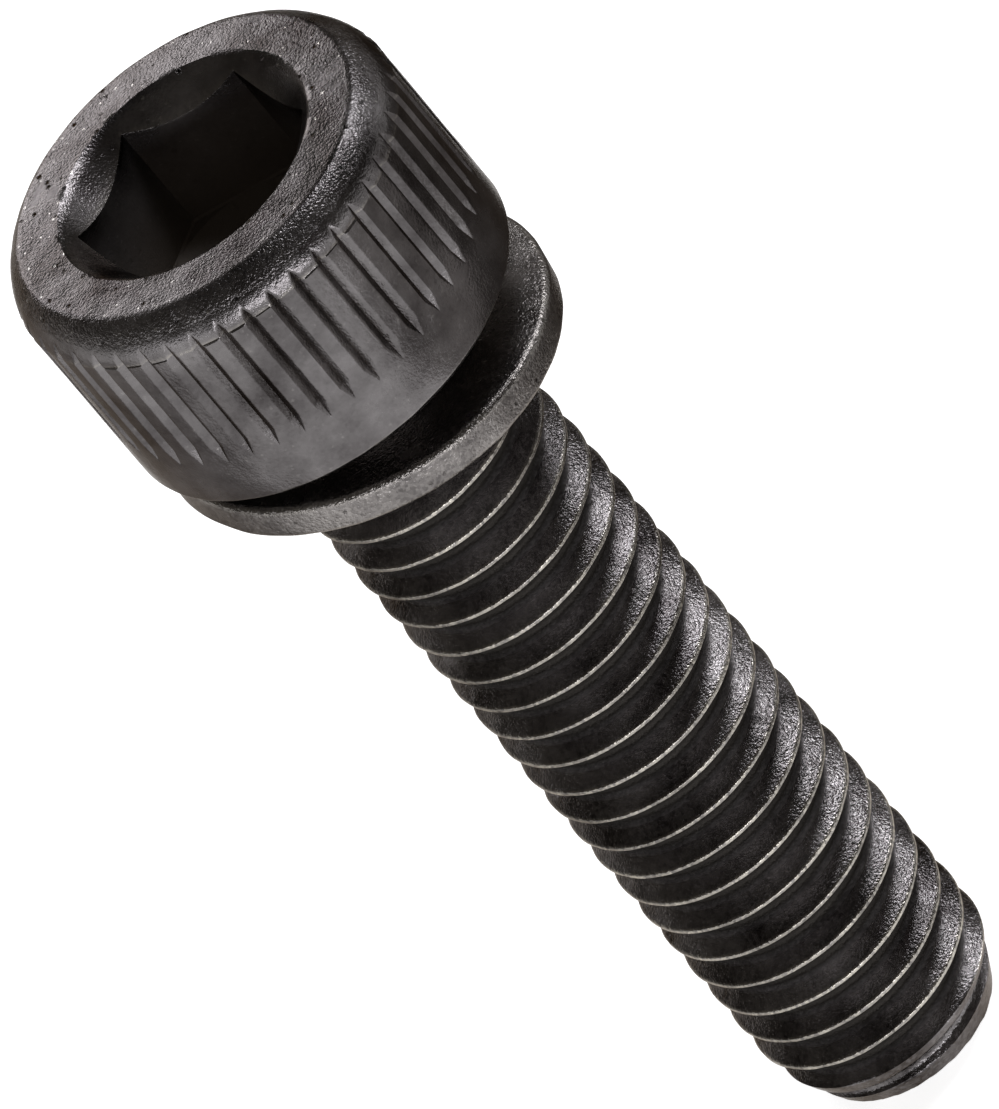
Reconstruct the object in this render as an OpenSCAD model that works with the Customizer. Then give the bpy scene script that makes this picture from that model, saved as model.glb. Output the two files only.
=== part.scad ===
// Hexagon socket head cap screw with a captive split spring washer.
// Millimetres, Z along the screw's axis, origin at the centre of the flat end of the thread,
// with the head at the top.

/* [Head] */
// Diameter of the head over the plain band
head_d = 9.9; // [9.6:0.1:11]
// Height of the head, from the bearing face to the top
head_h = 5.8; // [5.4:0.1:7]
// Width of the bevel round the top, measured across the top face
bevel_w = 0.64; // [0.4:0.02:0.8]
// Depth of the bevel round the top, measured down the side
bevel_h = 0.6; // [0.4:0.02:0.8]
// Part of the bevel that the steeper lower cone takes
bevel_break = 0.35; // [0.2:0.05:0.45]
// Chamfer at the bottom edge of the head
foot_chamfer = 0.22; // [0.1:0.02:0.4]

/* [Knurl] */
// Number of straight grooves round the head
groove_count = 46; // [30:1:50]
// Depth of a groove
groove_depth = 0.16; // [0.05:0.01:0.2]
// Width of a groove at the surface of the head
groove_w = 0.34; // [0.2:0.01:0.4]
// Length of the grooves, down from the top of the head
groove_len = 4.35; // [3:0.05:4.8]
// Length over which a groove runs out at its lower end
groove_runout = 0.3; // [0.1:0.05:0.6]
// Angle of the first groove
groove_turn = 7.2; // [0:0.1:7.8]

/* [Hexagon socket] */
// Width of the socket across its flats
socket_af = 5.02; // [4.6:0.01:5.3]
// Depth of the socket's corners, down from the top of the head
socket_depth = 3.3; // [2.5:0.1:3.6]
// Diameter of the chamfer at the mouth of the socket
mouth_d = 6.4; // [6.2:0.1:7]
// Angle of the chamfer's wall from the axis
mouth_angle = 45; // [35:1:60]
// Angle of one corner of the hexagon
socket_turn = 41.8; // [0:0.1:60]

/* [Shank] */
// Length of the shank, from the bearing face to the end
shank_len = 24.8; // [22:0.1:30]
// Diameter of the plain neck under the head
neck_d = 5.2; // [5:0.05:5.3]
// Length of the neck, from the bearing face to where the thread ends
neck_len = 2.6; // [2.5:0.1:4]
// Fillet between the neck and the bearing face
neck_fillet = 0.2; // [0.1:0.05:0.25]

/* [Thread] */
// Major diameter of the thread
thread_d = 5.86; // [5.8:0.01:6]
// Pitch of the thread
pitch = 1; // [0.75:0.25:1]
// Depth of the thread, from crest to root
thread_depth = 0.54; // [0.4:0.01:0.6]
// Width of the flat crest
crest_w = 0.12; // [0.1:0.01:0.15]
// Width of the flat root
root_w = 0.24; // [0.1:0.01:0.25]
// Diameter of the flat end
tip_d = 4.66; // [4.3:0.02:4.7]
// Length of the taper at the end
tip_len = 1.4; // [0.6:0.1:2]
// Length over which the thread runs out below the neck
runout_len = 0.8; // [0.4:0.1:1.5]
// Angle of the point where the thread starts
thread_turn = 79; // [0:1:360]

/* [Spring washer] */
// How far the washer's rim lies inside the head's
washer_inset = 0.13; // [0.05:0.01:0.4]
// Bore of the washer, smaller than the thread so that the washer stays on
washer_bore = 5.66; // [5.6:0.02:5.74]
// Thickness of the washer
washer_t = 0.95; // [0.7:0.05:1]
// Bevel on the washer's four edges
washer_edge = 0.16; // [0.05:0.01:0.2]
// Rise of one end of the split ring above the other
washer_rise = 0.5; // [0.1:0.1:0.9]
// Angle at which the loose washer leans on the neck
washer_lean = 6.9; // [0:0.1:7]
// Direction in which the washer leans down
lean_to = -20; // [-180:1:180]
// Angle of the middle of the split
split_at = 70; // [0:1:359]
// Width of the split at the washer's outer edge
split_w = 0.8; // [0.4:0.1:1.5]
// Gap between the washer's highest point and the head
washer_gap = 0.08; // [0.05:0.01:0.1]

/* [Hidden] */
$fn = 96;

head_r = head_d / 2;
total_h = shank_len + head_h;
knurl_low = total_h - groove_len;
// Grooves are cut from this far outside the head
groove_reach = 0.08;

// A hexagon's corners lie on a circle of this radius
socket_r = socket_af / sqrt(3);
mouth_h = (mouth_d - socket_af) / 2 / tan(mouth_angle);
// The drill leaves a cone in the socket's floor
drill_angle = 120;
drill_h = socket_af / 2 / tan(drill_angle / 2);
// Cuts through a face start this far above it, and the drilled cone ends this far inside the socket
over = 0.5;
into = 0.01;

neck_r = neck_d / 2;
thread_r = thread_d / 2;
root_r = thread_r - thread_depth;
tip_r = tip_d / 2;
flank_w = (pitch - crest_w - root_w) / 2;
// The runout ends a little wider than the neck, as rolling leaves it
collar_step = 0.06;
collar_r = neck_r + collar_step;
// A peg of the neck reaches down inside the thread, and a stub of it up inside the head
peg_share = 0.6;
peg_r = neck_r * peg_share;
peg_h = 0.5;

// Steps of the helix in one turn, and in the whole thread, which ends on a whole step
turn_steps = 36;
thread_steps = round((shank_len - neck_len) / pitch * turn_steps);
thread_top = thread_steps * pitch / turn_steps;

// The helix starts one turn below the end, where it is folded on to the flat face
helix_steps = thread_steps + turn_steps;
// The folded turn spirals in to the centre from this share of the face's radius
fold = 0.5;
// Heights of the profile's four corners within one pitch, the last one closing it
rows = [0, root_w, root_w + flank_w, root_w + flank_w + crest_w, pitch];

washer_steps = 60;
washer_d = head_d - 2 * washer_inset;
washer_r = washer_d / 2;
bore_r = washer_bore / 2;
washer_sweep = 360 - 2 * asin(split_w / washer_d);
washer_start = split_at - (360 - washer_sweep) / 2;

function flat(lists) = [for (list = lists) for (item = list) item];

// Two triangles for the four corners of a twisted quad, joined along b to d
function quad(a, b, c, d) = [[a, b, d], [b, c, d]];

// Height of corner m of the profile at step n, before the ends are folded flat
function helix_z(n, m) = pitch * (n / turn_steps - 1) + rows[m];
function below(n, m) = helix_z(n, m) <= 0;
function above(n, m) = helix_z(n, m) >= thread_top;

// Corner m of step n is the last one below the end, or the first one above the thread
function on_tip_rim(n, m) = below(n, m) && helix_z(n, m) + rows[m + 1] - rows[m] > 0;
function on_top_rim(n, m) = above(n, m)
    && helix_z(n, m) - (m == 0 ? pitch - rows[3] : rows[m] - rows[m - 1]) < thread_top;

function crest_or_root(m) = (m == 2 || m == 3) ? thread_r : root_r;
// The thread sinks into the collar over the runout, and the taper trims its other end
function runout_r(z, m) = collar_r
    + (crest_or_root(m) - collar_r) * min(1, (thread_top - z) / runout_len);
function taper_r(z) = tip_r + (thread_r - tip_r) * z / tip_len;

function helix_r(n, m, z) =
    on_tip_rim(n, m) ? tip_r
    : below(n, m) ? tip_r * fold * (1 + z / pitch)
    : on_top_rim(n, m) ? collar_r
    : above(n, m) ? collar_r * fold * (1 - (z - thread_top) / pitch)
    : min(runout_r(z, m), taper_r(z));

function helix_point(n, m) =
    let (z = helix_z(n, m), r = helix_r(n, m, z), a = 360 * n / turn_steps)
    [r * cos(a), r * sin(a), max(0, min(thread_top, z))];

// Place in the list of points: four corners a step, and then one more turn of first corners
function place(n, m) =
    m == 4 ? place(n + turn_steps, 0)
    : n <= helix_steps ? 4 * n + m
    : 4 * (helix_steps + 1) + n - helix_steps - 1;

thread_points = concat(
    [for (n = [0:helix_steps]) for (m = [0:3]) helix_point(n, m)],
    [for (n = [helix_steps + 1:helix_steps + turn_steps]) helix_point(n, 0)]
);

thread_sides = flat([for (n = [0:helix_steps - 1]) for (m = [0:3])
    quad(place(n, m), place(n, m + 1), place(n + 1, m + 1), place(n + 1, m))]);

// The flat end, as a fan round its centre and one along the helix's first section
tip_faces = concat(
    [for (n = [1:turn_steps - 2]) [place(0, 0), place(n, 0), place(n + 1, 0)]],
    [for (m = [0:3]) [place(turn_steps - 1, 0), place(0, m + 1), place(0, m)]]
);
top_faces = concat(
    [for (n = [helix_steps + 1:helix_steps + turn_steps - 2])
        [place(helix_steps, 4), place(n, 0), place(n + 1, 0)]],
    [for (m = [0:3]) [place(helix_steps + 1, 0), place(helix_steps, m + 1), place(helix_steps, m)]]
);

module thread() {
    rotate([0, 0, thread_turn])
        polyhedron(points = thread_points, faces = concat(thread_sides, tip_faces, top_faces));
}

// Neck with its fillet up to the bearing face, and the peg inside the thread
module neck() {
    fillet_r = neck_r + neck_fillet;
    rotate_extrude()
        difference() {
            polygon([
                [0, thread_top - peg_h],
                [peg_r, thread_top - peg_h],
                [peg_r, thread_top],
                [neck_r, thread_top],
                [neck_r, shank_len - neck_fillet],
                [fillet_r, shank_len - neck_fillet],
                [fillet_r, shank_len + peg_h],
                [0, shank_len + peg_h]
            ]);
            translate([fillet_r, shank_len - neck_fillet])
                circle(r = neck_fillet);
        }
}

module head_blank() {
    rotate_extrude()
        polygon([
            [0, shank_len],
            [head_r - foot_chamfer, shank_len],
            [head_r, shank_len + foot_chamfer],
            [head_r, total_h - bevel_h],
            [head_r - bevel_w * bevel_break, total_h - bevel_h * bevel_break],
            [head_r - bevel_w, total_h],
            [0, total_h]
        ]);
}

// One V groove, with its lower end running out to the surface
module groove() {
    deep = head_r - groove_depth;
    open = head_r + groove_reach;
    grow = (groove_depth + groove_reach) / groove_depth;
    half_w = groove_w / 2 * grow;
    low = knurl_low + groove_runout;
    polyhedron(
        points = [
            [deep, 0, low],
            [open, -half_w, low - groove_runout * grow],
            [open, half_w, low - groove_runout * grow],
            [deep, 0, total_h + over],
            [open, -half_w, total_h + over],
            [open, half_w, total_h + over]
        ],
        faces = [[0, 1, 2], [3, 5, 4], [0, 3, 4, 1], [0, 2, 5, 3], [1, 4, 5, 2]]
    );
}

module knurl() {
    for (i = [0:groove_count - 1])
        rotate([0, 0, groove_turn + i * 360 / groove_count])
            groove();
}

// Six-sided hole with a drilled floor and a chamfered mouth
module socket() {
    translate([0, 0, total_h - socket_depth])
        rotate([0, 0, socket_turn])
            cylinder(r = socket_r, h = socket_depth + over, $fn = 6);
    translate([0, 0, total_h - socket_depth - drill_h])
        cylinder(r1 = 0, r2 = socket_af / 2, h = drill_h + into);
    translate([0, 0, total_h - mouth_h])
        cylinder(
            r1 = socket_af / 2,
            r2 = mouth_d / 2 + over * tan(mouth_angle),
            h = mouth_h + over
        );
}

module screw() {
    color([0.24, 0.24, 0.23])
        union() {
            thread();
            neck();
            difference() {
                head_blank();
                knurl();
                socket();
            }
        }
}

// Section of the washer's wire, across and up, with its edges bevelled
function washer_section() =
    let (e = washer_edge, t = washer_t)
    [
        [bore_r + e, 0], [washer_r - e, 0], [washer_r, e], [washer_r, t - e],
        [washer_r - e, t], [bore_r + e, t], [bore_r, t - e], [bore_r, e]
    ];

// The ring rises clockwise, seen from the head, as the coil of a lock washer does
function washer_ring(i) =
    let (a = washer_start - washer_sweep * i / washer_steps, up = washer_rise * i / washer_steps)
    [for (p = washer_section()) [p[0] * cos(a), p[0] * sin(a), p[1] + up]];

// Height of the leaning ring's upper outer edge, as far as the lean and the rise set it
function edge_height(i) =
    let (a = washer_start - washer_sweep * i / washer_steps)
    (washer_rise * i / washer_steps + washer_t) * cos(washer_lean)
        - washer_r * cos(a - lean_to) * sin(washer_lean);
washer_top = max([for (i = [0:washer_steps]) edge_height(i)]);

module washer_body() {
    rings = [for (i = [0:washer_steps]) washer_ring(i)];
    corners = len(rings[0]);
    last = washer_steps * corners;
    polyhedron(
        points = flat(rings),
        faces = concat(
            [[for (j = [0:corners - 1]) j]],
            [[for (j = [corners - 1:-1:0]) last + j]],
            flat([for (i = [0:washer_steps - 1]) for (j = [0:corners - 1])
                let (k = (j + 1) % corners)
                quad(
                    i * corners + j,
                    (i + 1) * corners + j,
                    (i + 1) * corners + k,
                    i * corners + k
                )])
        )
    );
}

module washer() {
    color([0.38, 0.37, 0.35])
        translate([0, 0, shank_len - washer_gap - washer_top])
            rotate([0, 0, lean_to])
                rotate([0, washer_lean, 0])
                    rotate([0, 0, -lean_to])
                        washer_body();
}

screw();
washer();
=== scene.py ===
# %% [markdown]
# # Hex socket cap screw with a captive spring washer
# The screw is forged from alloy steel, knurled, thread rolled and blackened, and a split
# spring washer hangs on its neck, held there by the thread. The model stands on the flat end
# of its thread. This lesson makes the thread, the knurl and the washer with Geometry Nodes,
# because each follows a rule, and turns the head as one ring of points after another.

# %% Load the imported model
import math

import bpy
from mathutils import Matrix, Vector, noise


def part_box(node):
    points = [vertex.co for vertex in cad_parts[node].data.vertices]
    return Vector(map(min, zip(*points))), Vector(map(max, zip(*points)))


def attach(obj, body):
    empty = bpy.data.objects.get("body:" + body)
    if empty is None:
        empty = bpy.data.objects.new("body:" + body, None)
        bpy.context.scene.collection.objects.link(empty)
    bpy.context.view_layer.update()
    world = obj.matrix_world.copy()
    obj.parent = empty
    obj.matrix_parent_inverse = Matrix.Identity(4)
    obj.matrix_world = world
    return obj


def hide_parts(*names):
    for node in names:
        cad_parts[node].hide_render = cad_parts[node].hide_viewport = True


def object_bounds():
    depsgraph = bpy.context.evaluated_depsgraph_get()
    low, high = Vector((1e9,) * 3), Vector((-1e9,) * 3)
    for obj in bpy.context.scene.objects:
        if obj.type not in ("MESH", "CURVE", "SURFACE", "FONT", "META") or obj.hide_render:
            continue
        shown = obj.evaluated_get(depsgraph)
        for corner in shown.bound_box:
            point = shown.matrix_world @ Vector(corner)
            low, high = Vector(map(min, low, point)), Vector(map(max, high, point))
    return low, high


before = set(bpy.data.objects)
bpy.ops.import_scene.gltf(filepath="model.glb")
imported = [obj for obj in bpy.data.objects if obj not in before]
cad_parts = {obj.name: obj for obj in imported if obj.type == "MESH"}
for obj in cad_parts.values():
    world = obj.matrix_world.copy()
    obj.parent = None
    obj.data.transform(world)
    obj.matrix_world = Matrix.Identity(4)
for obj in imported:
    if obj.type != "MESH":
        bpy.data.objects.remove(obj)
cad_low, cad_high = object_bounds()
MM = 0.001
print("CAD box in mm:", [round(x / MM, 2) for x in (*cad_low, *cad_high)])

# %% [markdown]
# ## The camera
# The screw was photographed from far away with a long lens, so its lines stay almost
# parallel. Its axis leans across the picture. The axis is tilted towards the camera by one
# angle and turned in the picture by another, and the top of the head is tied to one pixel.
# The pixels that a millimetre takes there give the camera's distance.

# %% Camera values
PICTURE_W = 999
PICTURE_H = 1109
FOCAL_PX = 24456
SENSOR_MM = 36
AXIS_TILT = math.radians(54.278)
AXIS_ROLL = math.radians(49.826)
TOP_PIXEL = (182.57, 164.66)
PX_PER_MM = 45.881
# The nearest and farthest things drawn, as shares of the distance to the head
CLIP_NEAR = 0.1
CLIP_FAR = 20

# %% Place the camera


def place_camera():
    """Point the camera so that the centre of the head's top falls on its pixel."""
    axis = Vector((
        -math.cos(AXIS_ROLL) * math.sin(AXIS_TILT),
        -math.sin(AXIS_ROLL) * math.sin(AXIS_TILT),
        -math.cos(AXIS_TILT),
    ))
    right = Vector((math.sin(AXIS_ROLL), -math.cos(AXIS_ROLL), 0))
    turn = Matrix((right, axis.cross(right), axis)).transposed()
    away = FOCAL_PX / PX_PER_MM * MM
    across = (TOP_PIXEL[0] - PICTURE_W / 2) / FOCAL_PX * away
    down = (TOP_PIXEL[1] - PICTURE_H / 2) / FOCAL_PX * away
    offset = Vector((across, down, away)) - turn @ Vector((0, 0, cad_high.z))
    flip = Matrix.Diagonal((1, -1, -1))
    world_turn = (flip @ turn).transposed()
    camera = bpy.data.objects.new("camera", bpy.data.cameras.new("camera"))
    bpy.context.scene.collection.objects.link(camera)
    camera.matrix_world = world_turn.to_4x4()
    camera.location = -(turn.transposed() @ offset)
    camera.data.sensor_width = SENSOR_MM
    camera.data.lens = FOCAL_PX * SENSOR_MM / max(PICTURE_W, PICTURE_H)
    camera.data.clip_start = away * CLIP_NEAR
    camera.data.clip_end = away * CLIP_FAR
    bpy.context.scene.camera = camera
    return camera


camera = place_camera()
print("camera at mm:", [round(x / MM, 1) for x in camera.location])

# %% [markdown]
# ## Small helpers
# One function turns a colour that is written as sRGB hex into the linear values that Blender
# works with. One adds a node, with its settings and its links. The last two start a material
# and lay a level rectangle.

# %% Helpers
MATH = "ShaderNodeMath"


def linear(hex_colour):
    """Linear red, green, blue and alpha of an sRGB hex colour."""
    shares = [int(hex_colour[i:i + 2], 16) / 255 for i in (1, 3, 5)]
    return [s / 12.92 if s <= 0.04045 else ((s + 0.055) / 1.055) ** 2.4 for s in shares] + [1]


def add(tree, kind, inputs=(), **settings):
    """Add one node. Its inputs are values, sockets, or nodes whose first output is linked."""
    node = tree.nodes.new(kind)
    for name, value in settings.items():
        setattr(node, name, value)
    pairs = inputs.items() if isinstance(inputs, dict) else enumerate(inputs)
    for socket, value in pairs:
        if isinstance(value, bpy.types.Node):
            value = value.outputs[0]
        if isinstance(value, bpy.types.NodeSocket):
            tree.links.new(value, node.inputs[socket])
        else:
            node.inputs[socket].default_value = value
    return node


def new_material(name):
    """An empty node material and its output node."""
    material = bpy.data.materials.new(name)
    material.use_nodes = True
    material.node_tree.nodes.clear()
    return material, material.node_tree.nodes.new("ShaderNodeOutputMaterial")


def flat_sheet(name, x, y, z, material):
    """A level rectangle between two values of x and of y, in metres."""
    mesh = bpy.data.meshes.new(name)
    corners = [(x[0], y[0], z), (x[1], y[0], z), (x[1], y[1], z), (x[0], y[1], z)]
    mesh.from_pydata(corners, [], [(0, 1, 2, 3)])
    mesh.materials.append(material)
    piece = bpy.data.objects.new(name, mesh)
    bpy.context.scene.collection.objects.link(piece)
    return piece


# %% [markdown]
# ## The floor
# Blackened metal shows its surroundings, so they decide how it looks. The floor is white
# paint that keeps the screw's shadow. It also glows a little, but only for the camera and
# for reflections, so the picture's ground is white without more light on the screw.

# %% Floor
FLOOR_SIDE = 6.0
FLOOR_GLOW = 0.8
FLOOR_PAINT = "#F4F4F4"


def floor_material():
    """White paint that keeps a soft shadow, and that is clear from below."""
    material, out = new_material("studio floor")
    tree = material.node_tree
    path = add(tree, "ShaderNodeLightPath")
    seen = add(tree, MATH, [path.outputs["Is Camera Ray"], path.outputs["Is Glossy Ray"]],
               operation="MAXIMUM")
    glow = add(tree, MATH, [seen, FLOOR_GLOW], operation="MULTIPLY")
    paint = add(tree, "ShaderNodeBsdfDiffuse", {"Color": linear(FLOOR_PAINT)})
    light = add(tree, "ShaderNodeEmission", {"Strength": glow})
    top = add(tree, "ShaderNodeAddShader", [paint, light])
    clear = add(tree, "ShaderNodeBsdfTransparent")
    side = add(tree, "ShaderNodeNewGeometry")
    mix = add(tree, "ShaderNodeMixShader", [side.outputs["Backfacing"], top, clear])
    tree.links.new(mix.outputs[0], out.inputs["Surface"])
    return material


def lay_floor():
    """A wide square floor at the height that the screw stands on."""
    span = (-FLOOR_SIDE / 2, FLOOR_SIDE / 2)
    floor = flat_sheet("floor", span, span, 0, floor_material())
    return floor


print("stage:", lay_floor().name, "of", FLOOR_SIDE, "m")

# %% [markdown]
# ## The room
# The walls are white where they meet the floor, so the picture has no horizon. Above them
# a dim grey ceiling gets darker overhead, and the thread's upper flanks, which face it, turn
# as black as oiled oxide does.

# %% Room
WALL = "#FFFFFF"
CEILING = "#56524D"
ZENITH = "#1C1A18"
# Heights of the room's bands, as the sine of their angle over the horizon
WALL_TOP = math.sin(math.radians(4))
CEILING_FROM = math.sin(math.radians(9))
ZENITH_FROM = math.sin(math.radians(55))


def light_world():
    """White at the horizon, where the floor meets it, grey above and dark overhead."""
    world = bpy.data.worlds.new("studio")
    bpy.context.scene.world = world
    world.use_nodes = True
    tree = world.node_tree
    tree.nodes.clear()
    ray = add(tree, "ShaderNodeTexCoord")
    height = add(tree, "ShaderNodeSeparateXYZ", [ray.outputs["Generated"]]).outputs["Z"]
    paint = linear(WALL)
    for colour, start, full in ((CEILING, WALL_TOP, CEILING_FROM), (ZENITH, ZENITH_FROM, 1.0)):
        share = add(tree, "ShaderNodeMapRange", {
            "Value": height, "From Min": start, "From Max": full})
        mix = add(tree, "ShaderNodeMix", {0: share, 6: paint, 7: linear(colour)},
                  data_type="RGBA")
        paint = mix.outputs[2]
    light = add(tree, "ShaderNodeBackground", {"Color": paint})
    add(tree, "ShaderNodeOutputWorld", [light])
    return world


print("world:", light_world().name)

# %% [markdown]
# ## Cards on the floor
# The head's upright sides mirror the floor round the screw. Grey cards lie there, just out
# of the picture, and give each side its own tone: dark at the right, lighter at the front.
# Only reflections see them. They throw no shadow and take no light from the rest.

# %% Cards
CARD_LIFT_MM = 0.3
# The two cards at the right meet at this depth
CARD_SEAM_MM = -9
CARD_FAR_MM = 500


def floor_card(name, colour, x, y):
    """A card on the floor, between two values of x and of y in millimetres."""
    material, out = new_material(name)
    paint = add(material.node_tree, "ShaderNodeBsdfDiffuse", {"Color": linear(colour)})
    material.node_tree.links.new(paint.outputs[0], out.inputs["Surface"])
    span_x = [edge * MM for edge in x]
    span_y = [edge * MM for edge in y]
    card = flat_sheet(name, span_x, span_y, CARD_LIFT_MM * MM, material)
    card.visible_camera = False
    card.visible_shadow = False
    card.visible_diffuse = False
    return card


cards = [
    floor_card("right card", "#7A7672", x=(15, CARD_FAR_MM), y=(CARD_SEAM_MM, CARD_FAR_MM)),
    floor_card("front card", "#E4E0DB", x=(15, CARD_FAR_MM), y=(-60, CARD_SEAM_MM)),
    floor_card("left card", "#F4F2EF", x=(-120, -16), y=(CARD_SEAM_MM, 120)),
]
print("cards:", [card.name for card in cards])

# %% [markdown]
# ## The lamps
# A softbox high at the right lights the thread's flanks there and the head's shoulder. A low
# one lights the cone at the socket's mouth. One behind the screw is mirrored in the flat top.
# Two strips low at the front and at the left draw the crests. An area lamp looks as bright
# as its energy over four times its area, so each lamp is set by how bright it looks.

# %% Lamps
DAYLIGHT = "#FAFAFF"


def softbox(name, azimuth, elevation, distance, size, brightness):
    """A rectangular lamp that faces the screw. Azimuth turns from +X towards +Y."""
    a = math.radians(azimuth)
    e = math.radians(elevation)
    aim = Vector((0, 0, cad_high.z / 2))
    way = Vector((math.cos(e) * math.cos(a), math.cos(e) * math.sin(a), math.sin(e)))
    lamp = bpy.data.lights.new(name, "AREA")
    lamp.shape = "RECTANGLE"
    lamp.size, lamp.size_y = size
    lamp.energy = brightness * 4 * size[0] * size[1]
    lamp.color = linear(DAYLIGHT)[:3]
    box = bpy.data.objects.new(name, lamp)
    bpy.context.scene.collection.objects.link(box)
    box.location = aim + way * distance
    box.rotation_euler = way.to_track_quat("Z", "Y").to_euler()
    box.visible_camera = False
    return box


lamps = [
    softbox("key softbox", azimuth=22, elevation=53, distance=0.35, size=(0.12, 0.12), brightness=9.8),
    softbox("low softbox", azimuth=12, elevation=20, distance=0.35, size=(0.10, 0.05), brightness=2.2),
    softbox("back softbox", azimuth=101, elevation=30, distance=0.12, size=(0.06, 0.035), brightness=4.4),
    softbox("front strip", azimuth=-95, elevation=8, distance=0.35, size=(0.30, 0.06), brightness=7.0),
    softbox("left strip", azimuth=-150, elevation=8, distance=0.35, size=(0.20, 0.05), brightness=1.5),
]
print("lamps:", [lamp.name for lamp in lamps])

# %% [markdown]
# ## Black oxide steel
# The screw is alloy steel, and a hot bath has turned its skin to black iron oxide. The oxide
# is thin, so the metal below still gives it a grey gloss. It could be black paint with a
# coat, but a dark metal keeps that gloss in the reflections. Forging and tumbling leave
# grains, pits and bright points, and the edges are rubbed down to lighter metal. Painted
# shade in the hollows turns the metal there to a dull non-metal that mirrors no lamp.
# Attributes on each piece say where these are.

# %% Oxide values
# Clouds of thicker and thinner oxide, and the noise values where they are dark and light
CLOUD_MM = 2.2
CLOUD_DARK = 0.3
CLOUD_LIGHT = 0.75
# Noise values between which the clouds change the edges' wear, and the gloss
WEAR_CLOUDS = (0.4, 0.6)
GLOSS_CLOUDS = (0.3, 0.7)
# The real grain is near 0.02 mm, too fine to show, so it is drawn four times as coarse
GRAIN_MM = 0.08
# Flecks within a grain are drawn two pixels wide for the same reason
FLECK_MM = 0.04
# How much a grainy skin varies from one grain to the next
SPECKLE = 0.75
# The share of the full grain's depth that is left on a smooth skin
SMOOTH_DEPTH = 0.1
# The height of a grain's rim over its middle, against the height of the flecks
GRAIN_RIM = -0.7
# How far the flecks bend the outlines of the spots
BEND_MM = 0.1
# Bruised bright points, and the pits of forging scale
SPARKS = {"size_mm": 0.16, "core": 0.14, "rim": 0.28, "chance": 0.16}
PITS = {"size_mm": 0.32, "core": 0.10, "rim": 0.24, "chance": 0.3}
PIT_DEPTH_MM = 0.02
RUBBED = "#BEB9AE"
SPARK = "#A5A29E"
PIT = "#161413"
# Oxide reflects less than bare metal at a glancing angle
GLANCING = "#BDB6AE"
# Rubbed edges keep at least this share from grain to grain and from cloud to cloud
RUB_IN_GRAIN = 0.2
RUB_IN_CLOUD = 0.55
# Roughness that the clouds take away and add, and what grain and painted shade add
GLOSSY_CLOUD = -0.05
DULL_CLOUD = 0.07
GRAINY_ROUGH = 0.08
SHADE_ROUGH = 0.3
# The share of its metal look that the painted shade takes away
SHADE_DULL = 0.95

# %% Oxide patterns


def scattered_spots(tree, place, size_mm, core, rim, chance):
    """Spots in a share of the cells of a pattern, full inside core and gone at rim."""
    cells = add(tree, "ShaderNodeTexVoronoi", {
        "Vector": place, "Scale": 1 / (size_mm * MM)}, feature="F1")
    spot = add(tree, "ShaderNodeMapRange", {
        "Value": cells.outputs["Distance"], "From Min": core, "From Max": rim,
        "To Min": 1.0, "To Max": 0.0})
    luck = add(tree, "ShaderNodeSeparateXYZ", [cells.outputs["Color"]])
    chosen = add(tree, MATH, [luck.outputs["X"], chance], operation="LESS_THAN")
    return add(tree, MATH, [spot, chosen], operation="MULTIPLY")


def oxide_patterns(tree):
    """The attributes and patterns that colour, roughness and relief share, by name.

    Four attributes steer them: "rubbed" on worn edges, "grainy" on the coarse skin,
    "forged" where scale has left pits, and one for the painted shade in the hollows.
    """
    place = add(tree, "ShaderNodeTexCoord").outputs["Object"]
    pattern = {}
    for label in ("rubbed", "grainy", "forged", "painted_shade"):
        pattern[label] = add(tree, "ShaderNodeAttribute", attribute_name=label).outputs["Fac"]
    pattern["clouds"] = add(tree, "ShaderNodeTexNoise", {
        "Vector": place, "Scale": 1 / (CLOUD_MM * MM), "Detail": 5.0, "Roughness": 0.6})
    flecks = add(tree, "ShaderNodeTexNoise", {
        "Vector": place, "Scale": 1 / (FLECK_MM * MM), "Detail": 1.0})
    grain = add(tree, "ShaderNodeTexVoronoi", {
        "Vector": place, "Scale": 1 / (GRAIN_MM * MM)}, feature="F1")
    pattern["flecks"] = flecks
    pattern["grain"] = grain.outputs["Distance"]
    pattern["cell"] = add(tree, "ShaderNodeSeparateXYZ", [grain.outputs["Color"]])
    bent = add(tree, "ShaderNodeVectorMath", {
        0: flecks.outputs["Color"], 1: (BEND_MM * MM,) * 3, 2: place}, operation="MULTIPLY_ADD")
    for label, kind in (("spark", SPARKS), ("pit", PITS)):
        spot = scattered_spots(tree, bent, **kind)
        pattern[label] = add(tree, MATH, [spot, pattern["forged"]], operation="MULTIPLY")
    return pattern


# %% Oxide colour and relief


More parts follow.
